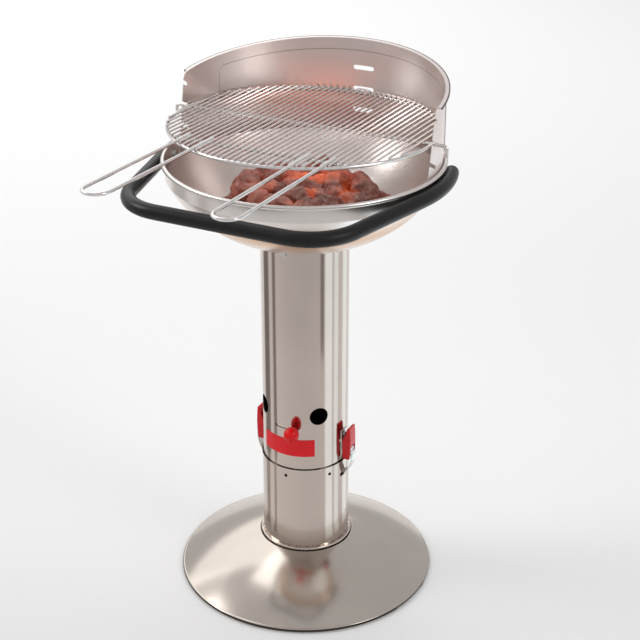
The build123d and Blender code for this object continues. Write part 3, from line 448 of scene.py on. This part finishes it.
def makeLabel():
    clearSelection()
    bpy.ops.mesh.primitive_circle_add(vertices=label["points round"],
                                      radius=columnRadius + label["off column"],
                                      location=(0.0, 0.0, label["bottom"]))
    plate = bpy.context.object
    plate.name = "label_plate"
    settle(plate)
    bpy.ops.object.mode_set(mode="EDIT")
    bpy.ops.mesh.select_all(action="DESELECT")
    bpy.ops.object.mode_set(mode="OBJECT")
    for vertex in plate.data.vertices:
        turn = math.degrees(math.atan2(vertex.co.x, -vertex.co.y))
        vertex.select = abs(turn) > label["half angle"]
    bpy.ops.object.mode_set(mode="EDIT")
    bpy.ops.mesh.select_mode(type="VERT")
    bpy.ops.mesh.delete(type="VERT")
    bpy.ops.mesh.select_all(action="SELECT")
    bpy.ops.mesh.extrude_region_move(
        TRANSFORM_OT_translate={"value": (0.0, 0.0, label["top"] - label["bottom"])})
    bpy.ops.mesh.select_all(action="SELECT")
    bpy.ops.mesh.normals_make_consistent(inside=False)
    bpy.ops.object.mode_set(mode="OBJECT")
    solid = plate.modifiers.new("sheet", "SOLIDIFY")
    solid.thickness = label["sheet"]
    solid.offset = 0.0
    applyModifiers(plate)
    bpy.ops.object.shade_smooth_by_angle(angle=math.radians(30))
    plate.data.materials.append(makeLabelMaterial("label red"))
    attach(plate, "stand")


makeLabel()
print("label plate made")


# heap of burning lumps on the grate: rings of lumps, all copies of the same few shapes
heap = {"shapes": 7, "half length": 0.036, "width share": 0.62, "height share": 0.60, "lift": 0.7385,
        "seed": 11, "sizes": (0.85, 1.12), "turn play": 0.15, "reach play": 0.006, "up play": 0.003,
        "tilt play": 0.5, "roll play": 0.45, "yaw play": 0.6,
        "rings": [{"count": 16, "radius": 0.123, "up": 0.010}, {"count": 10, "radius": 0.080, "up": 0.010},
                  {"count": 4, "radius": 0.034, "up": 0.011}, {"count": 13, "radius": 0.100, "up": 0.034},
                  {"count": 8, "radius": 0.058, "up": 0.038}, {"count": 3, "radius": 0.020, "up": 0.042}]}
# each shape is swollen by its own patch of these textures, which lies apart from the others
lumpShape = {"apart": 7.0, "middle": 0.55, "kept faces": 0.7,
             "swells": {"form": {"kind": "CLOUDS", "size": 0.9, "depth": 0.45},
                        "breaks": {"kind": "VORONOI", "size": 0.75, "depth": 0.42},
                        "crags": {"kind": "CLOUDS", "size": 0.3, "depth": 0.10},
                        "grain": {"kind": "CLOUDS", "size": 0.1, "depth": 0.03}}}


def makeLumpShape(index):
    clearSelection()
    bpy.ops.mesh.primitive_ico_sphere_add(subdivisions=5, radius=1.0)
    lump = bpy.context.object
    lump.name = "lump_shape_%d" % index
    aside = lumpShape["apart"] * index
    bpy.ops.object.mode_set(mode="EDIT")
    bpy.ops.mesh.select_all(action="SELECT")
    bpy.ops.transform.resize(value=(1.0, heap["width share"], heap["height share"]))
    bpy.ops.transform.translate(value=(aside, 0.0, 0.0))
    bpy.ops.object.mode_set(mode="OBJECT")
    for name, swell in lumpShape["swells"].items():
        texture = bpy.data.textures.new("lump %s %d" % (name, index), swell["kind"])
        texture.noise_scale = swell["size"]
        displace = lump.modifiers.new(name, "DISPLACE")
        displace.texture = texture
        displace.texture_coords = "LOCAL"
        displace.strength = swell["depth"]
        displace.mid_level = lumpShape["middle"]
    thin = lump.modifiers.new("thin", "DECIMATE")  # keeps the heap under 200,000 triangles
    thin.ratio = lumpShape["kept faces"]
    applyModifiers(lump)
    lump.location = (-aside, 0.0, 0.0)
    settle(lump)
    return lump


def makeHeap():
    dice = random.Random(heap["seed"])

    def play(name):
        return dice.uniform(-heap[name], heap[name])

    shapes = [makeLumpShape(index) for index in range(heap["shapes"])]
    lumps = []
    for ring in heap["rings"]:
        for step in range(ring["count"]):
            source = shapes[(len(lumps) * 2) % len(shapes)]
            lump = source.copy()
            lump.data = source.data.copy()
            bpy.context.scene.collection.objects.link(lump)
            turn = 2.0 * math.pi * (step + play("turn play")) / ring["count"]
            reach = ring["radius"] + play("reach play")
            size = heap["half length"] * dice.uniform(*heap["sizes"])
            lump.location = (reach * math.sin(turn), -reach * math.cos(turn),
                             heap["lift"] + ring["up"] + play("up play"))
            # every other lump lies across its ring
            lump.rotation_euler = (play("tilt play"), play("roll play"),
                                   turn + math.radians(90.0 * (step % 2)) + play("yaw play"))
            lump.scale = (size, size, size)
            lumps.append(lump)
    for source in shapes:
        bpy.data.objects.remove(source)
    clearSelection()
    for lump in lumps:
        lump.select_set(True)
    bpy.context.view_layer.objects.active = lumps[0]
    bpy.ops.object.join()
    pile = bpy.context.object
    pile.name = "charcoal_heap"
    settle(pile)
    bpy.ops.object.shade_smooth()
    pile.data.materials.clear()
    pile.data.materials.append(emberCoal)
    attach(pile, "charcoal_grate")
    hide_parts("coal_lumps")
    return pile


pile = makeHeap()
print("charcoal heap made:", len(pile.data.polygons), "faces")


# camera as in the photograph
view = {"turn": 26.5, "pitch": 25.72, "distance": 2.4898, "height": 1.7203, "aside": 0.02715,
        "lens": 84.88, "sensor": 36.0}


def turned(right, toward, height):
    # a place given as seen from the camera: to the right, towards the camera, above the floor
    turn = math.radians(view["turn"])
    return Vector((right * math.cos(turn) + toward * math.sin(turn),
                   right * math.sin(turn) - toward * math.cos(turn), height))


def makeCamera():
    data = bpy.data.cameras.new("camera")
    data.lens = view["lens"]
    data.sensor_width = view["sensor"]
    camera = bpy.data.objects.new("camera", data)
    bpy.context.scene.collection.objects.link(camera)
    camera.location = turned(view["aside"], view["distance"], view["height"])
    camera.rotation_euler = (math.radians(90.0 - view["pitch"]), 0.0, math.radians(view["turn"]))
    bpy.context.scene.camera = camera


makeCamera()
print("camera placed")


# soft studio light, with places as seen from the camera
softboxes = {
    "far ceiling": {"place": (-1.5, -5.8, 3.0), "target": (-1.5, -5.8, 0.0),
                    "width": 5.0, "height": 8.0, "power": 105.0},
    "left ceiling": {"place": (-1.9, -2.0, 3.2), "target": (-1.9, -2.0, 0.0),
                     "width": 3.0, "height": 3.0, "power": 2.0},
    "skylight": {"place": (-0.85, -0.85, 3.0), "target": (0.0, 0.0, 0.05),
                 "width": 1.0, "height": 1.0, "power": 4.5},
    "key": {"place": (-2.42, -0.2, 2.4), "target": (0.0, -0.05, 0.85),
            "width": 1.4, "height": 1.4, "power": 2.5, "beam": 44.0},
    "fill": {"place": (2.0, 1.4, 2.2), "target": (0.0, -0.05, 0.85),
             "width": 1.2, "height": 1.2, "power": 1.25, "beam": 44.0},
    "floor wash": {"place": (0.6, -2.6, 3.0), "target": (0.6, -2.6, 0.0),
                   "width": 4.0, "height": 4.0, "power": 38.0, "mirrored": False},
    "ember glow": {"place": (0.0, -0.02, 0.80), "target": (0.0, -0.24, 0.82),
                   "width": 0.2, "height": 0.10, "power": 0.06, "colour": (1.0, 0.30, 0.18)},
    "left window": {"place": (-2.2, -0.9, 1.5), "target": (0.0, 0.0, 0.8),
                    "width": 1.2, "height": 1.6, "power": 2.0},
}


def addSoftbox(name, place, target, width, height, power, beam=180.0, colour=(1.0, 1.0, 1.0),
               mirrored=True):
    data = bpy.data.lights.new(name, "AREA")
    data.spread = math.radians(beam)
    data.shape = "RECTANGLE"
    data.size = width
    data.size_y = height
    data.energy = power
    data.color = colour
    lamp = bpy.data.objects.new(name, data)
    bpy.context.scene.collection.objects.link(lamp)
    lamp.location = turned(*place)
    lamp.rotation_euler = (turned(*target) - lamp.location).to_track_quat("-Z", "Y").to_euler()
    lamp.visible_camera = False
    lamp.visible_glossy = mirrored


# dark and bright cards on the floor, which only mirrors show: stripes along the column between two
# bearings, in degrees round it from the side that faces the camera
cards = {
    "left edge card": {"bearings": (-66.5, -54.1), "reach": (0.45, 2.4), "tone": 0.27},
    "left edge foot card": {"bearings": (-64.0, -55.5), "reach": (0.15, 0.45), "tone": 0.48},
    "left card": {"bearings": (-47.1, -41.3), "reach": (0.45, 2.4), "tone": 0.33},
    "left foot card": {"bearings": (-46.5, -42.5), "reach": (0.15, 0.45), "tone": 0.5},
    "right card": {"bearings": (20.5, 25.6), "reach": (0.95, 2.4), "tone": 0.40},
    "right strip": {"bearings": (27.0, 38.0), "reach": (0.15, 2.4), "glow": 1.38},
    "right middle strip": {"bearings": (41.0, 48.8), "reach": (0.15, 2.4), "glow": 1.33},
    "right edge strip": {"bearings": (58.0, 69.0), "reach": (0.15, 2.4), "glow": 1.42},
}
cardLook = {"height": 0.001, "tint": (1.0, 0.93, 0.88), "worn tint": (0.9, 0.84, 0.79), "grain": 12.0,
            "rough": 0.9, "glow colour": (0.86, 0.96, 1.0)}


def makeCardMaterial(name, tone, glow):
    mat, tree, shader = startMaterial(name)
    grain = noise(tree, objectPoint(tree), cardLook["grain"])
    colours = [tuple(tone * part for part in cardLook[tint]) for tint in ("tint", "worn tint")]
    tree.links.new(mixColour(tree, grain, *colours), shader.inputs["Base Color"])
    shader.inputs["Roughness"].default_value = cardLook["rough"]
    shader.inputs["Specular IOR Level"].default_value = 0.0
    shader.inputs["Emission Color"].default_value = (*cardLook["glow colour"], 1.0)
    shader.inputs["Emission Strength"].default_value = glow
    return mat


def addCard(name, bearings, reach, tone=0.0, glow=0.0):
    clearSelection()
    bpy.ops.mesh.primitive_plane_add(size=1.0)
    card = bpy.context.object
    card.name = name
    corners = []
    for bearing in bearings:
        start = math.radians(bearing)
        way = 2.0 * start  # a mirror turns the line of sight by twice the bearing
        for distance in reach:
            corners.append(turned(columnRadius * math.sin(start) + distance * math.sin(way),
                                  columnRadius * math.cos(start) + distance * math.cos(way),
                                  cardLook["height"]))
    for vertex, corner in zip(card.data.vertices, corners):
        vertex.co = corner
    card.data.materials.append(makeCardMaterial(name, tone, glow))
    card.visible_camera = False
    card.visible_diffuse = False
    card.visible_shadow = False


# plain floor and pale surroundings
studio = {"floor size": 30.0, "floor drop": 0.0005, "floor": (0.90, 0.895, 0.89), "shade": 0.985,
          "cloud": 0.6, "rough": 0.8, "world": (0.98, 0.985, 1.0), "world strength": 0.60}


def makeFloorMaterial(name):
    mat, tree, shader = startMaterial(name)
    cloud = noise(tree, objectPoint(tree), studio["cloud"], detail=2.0)
    shaded = tuple(studio["shade"] * part for part in studio["floor"])
    tree.links.new(mixColour(tree, cloud, studio["floor"], shaded), shader.inputs["Base Color"])
    shader.inputs["Roughness"].default_value = studio["rough"]
    shader.inputs["Specular IOR Level"].default_value = 0.0  # matt, so the cards don't show on it
    return mat


def makeStudio():
    clearSelection()
    bpy.ops.mesh.primitive_plane_add(size=studio["floor size"], location=(0.0, 0.0, -studio["floor drop"]))
    floor = bpy.context.object
    floor.name = "studio_floor"
    floor.data.materials.append(makeFloorMaterial("pale floor"))
    world = bpy.data.worlds.new("studio")
    world.use_nodes = True
    background = world.node_tree.nodes["Background"]
    background.inputs["Color"].default_value = (*studio["world"], 1.0)
    background.inputs["Strength"].default_value = studio["world strength"]
    bpy.context.scene.world = world
    for name, box in softboxes.items():
        addSoftbox(name, **box)
    for name, card in cards.items():
        addCard(name, **card)
    bpy.context.scene.view_settings.view_transform = "Standard"


makeStudio()
print("studio lit")
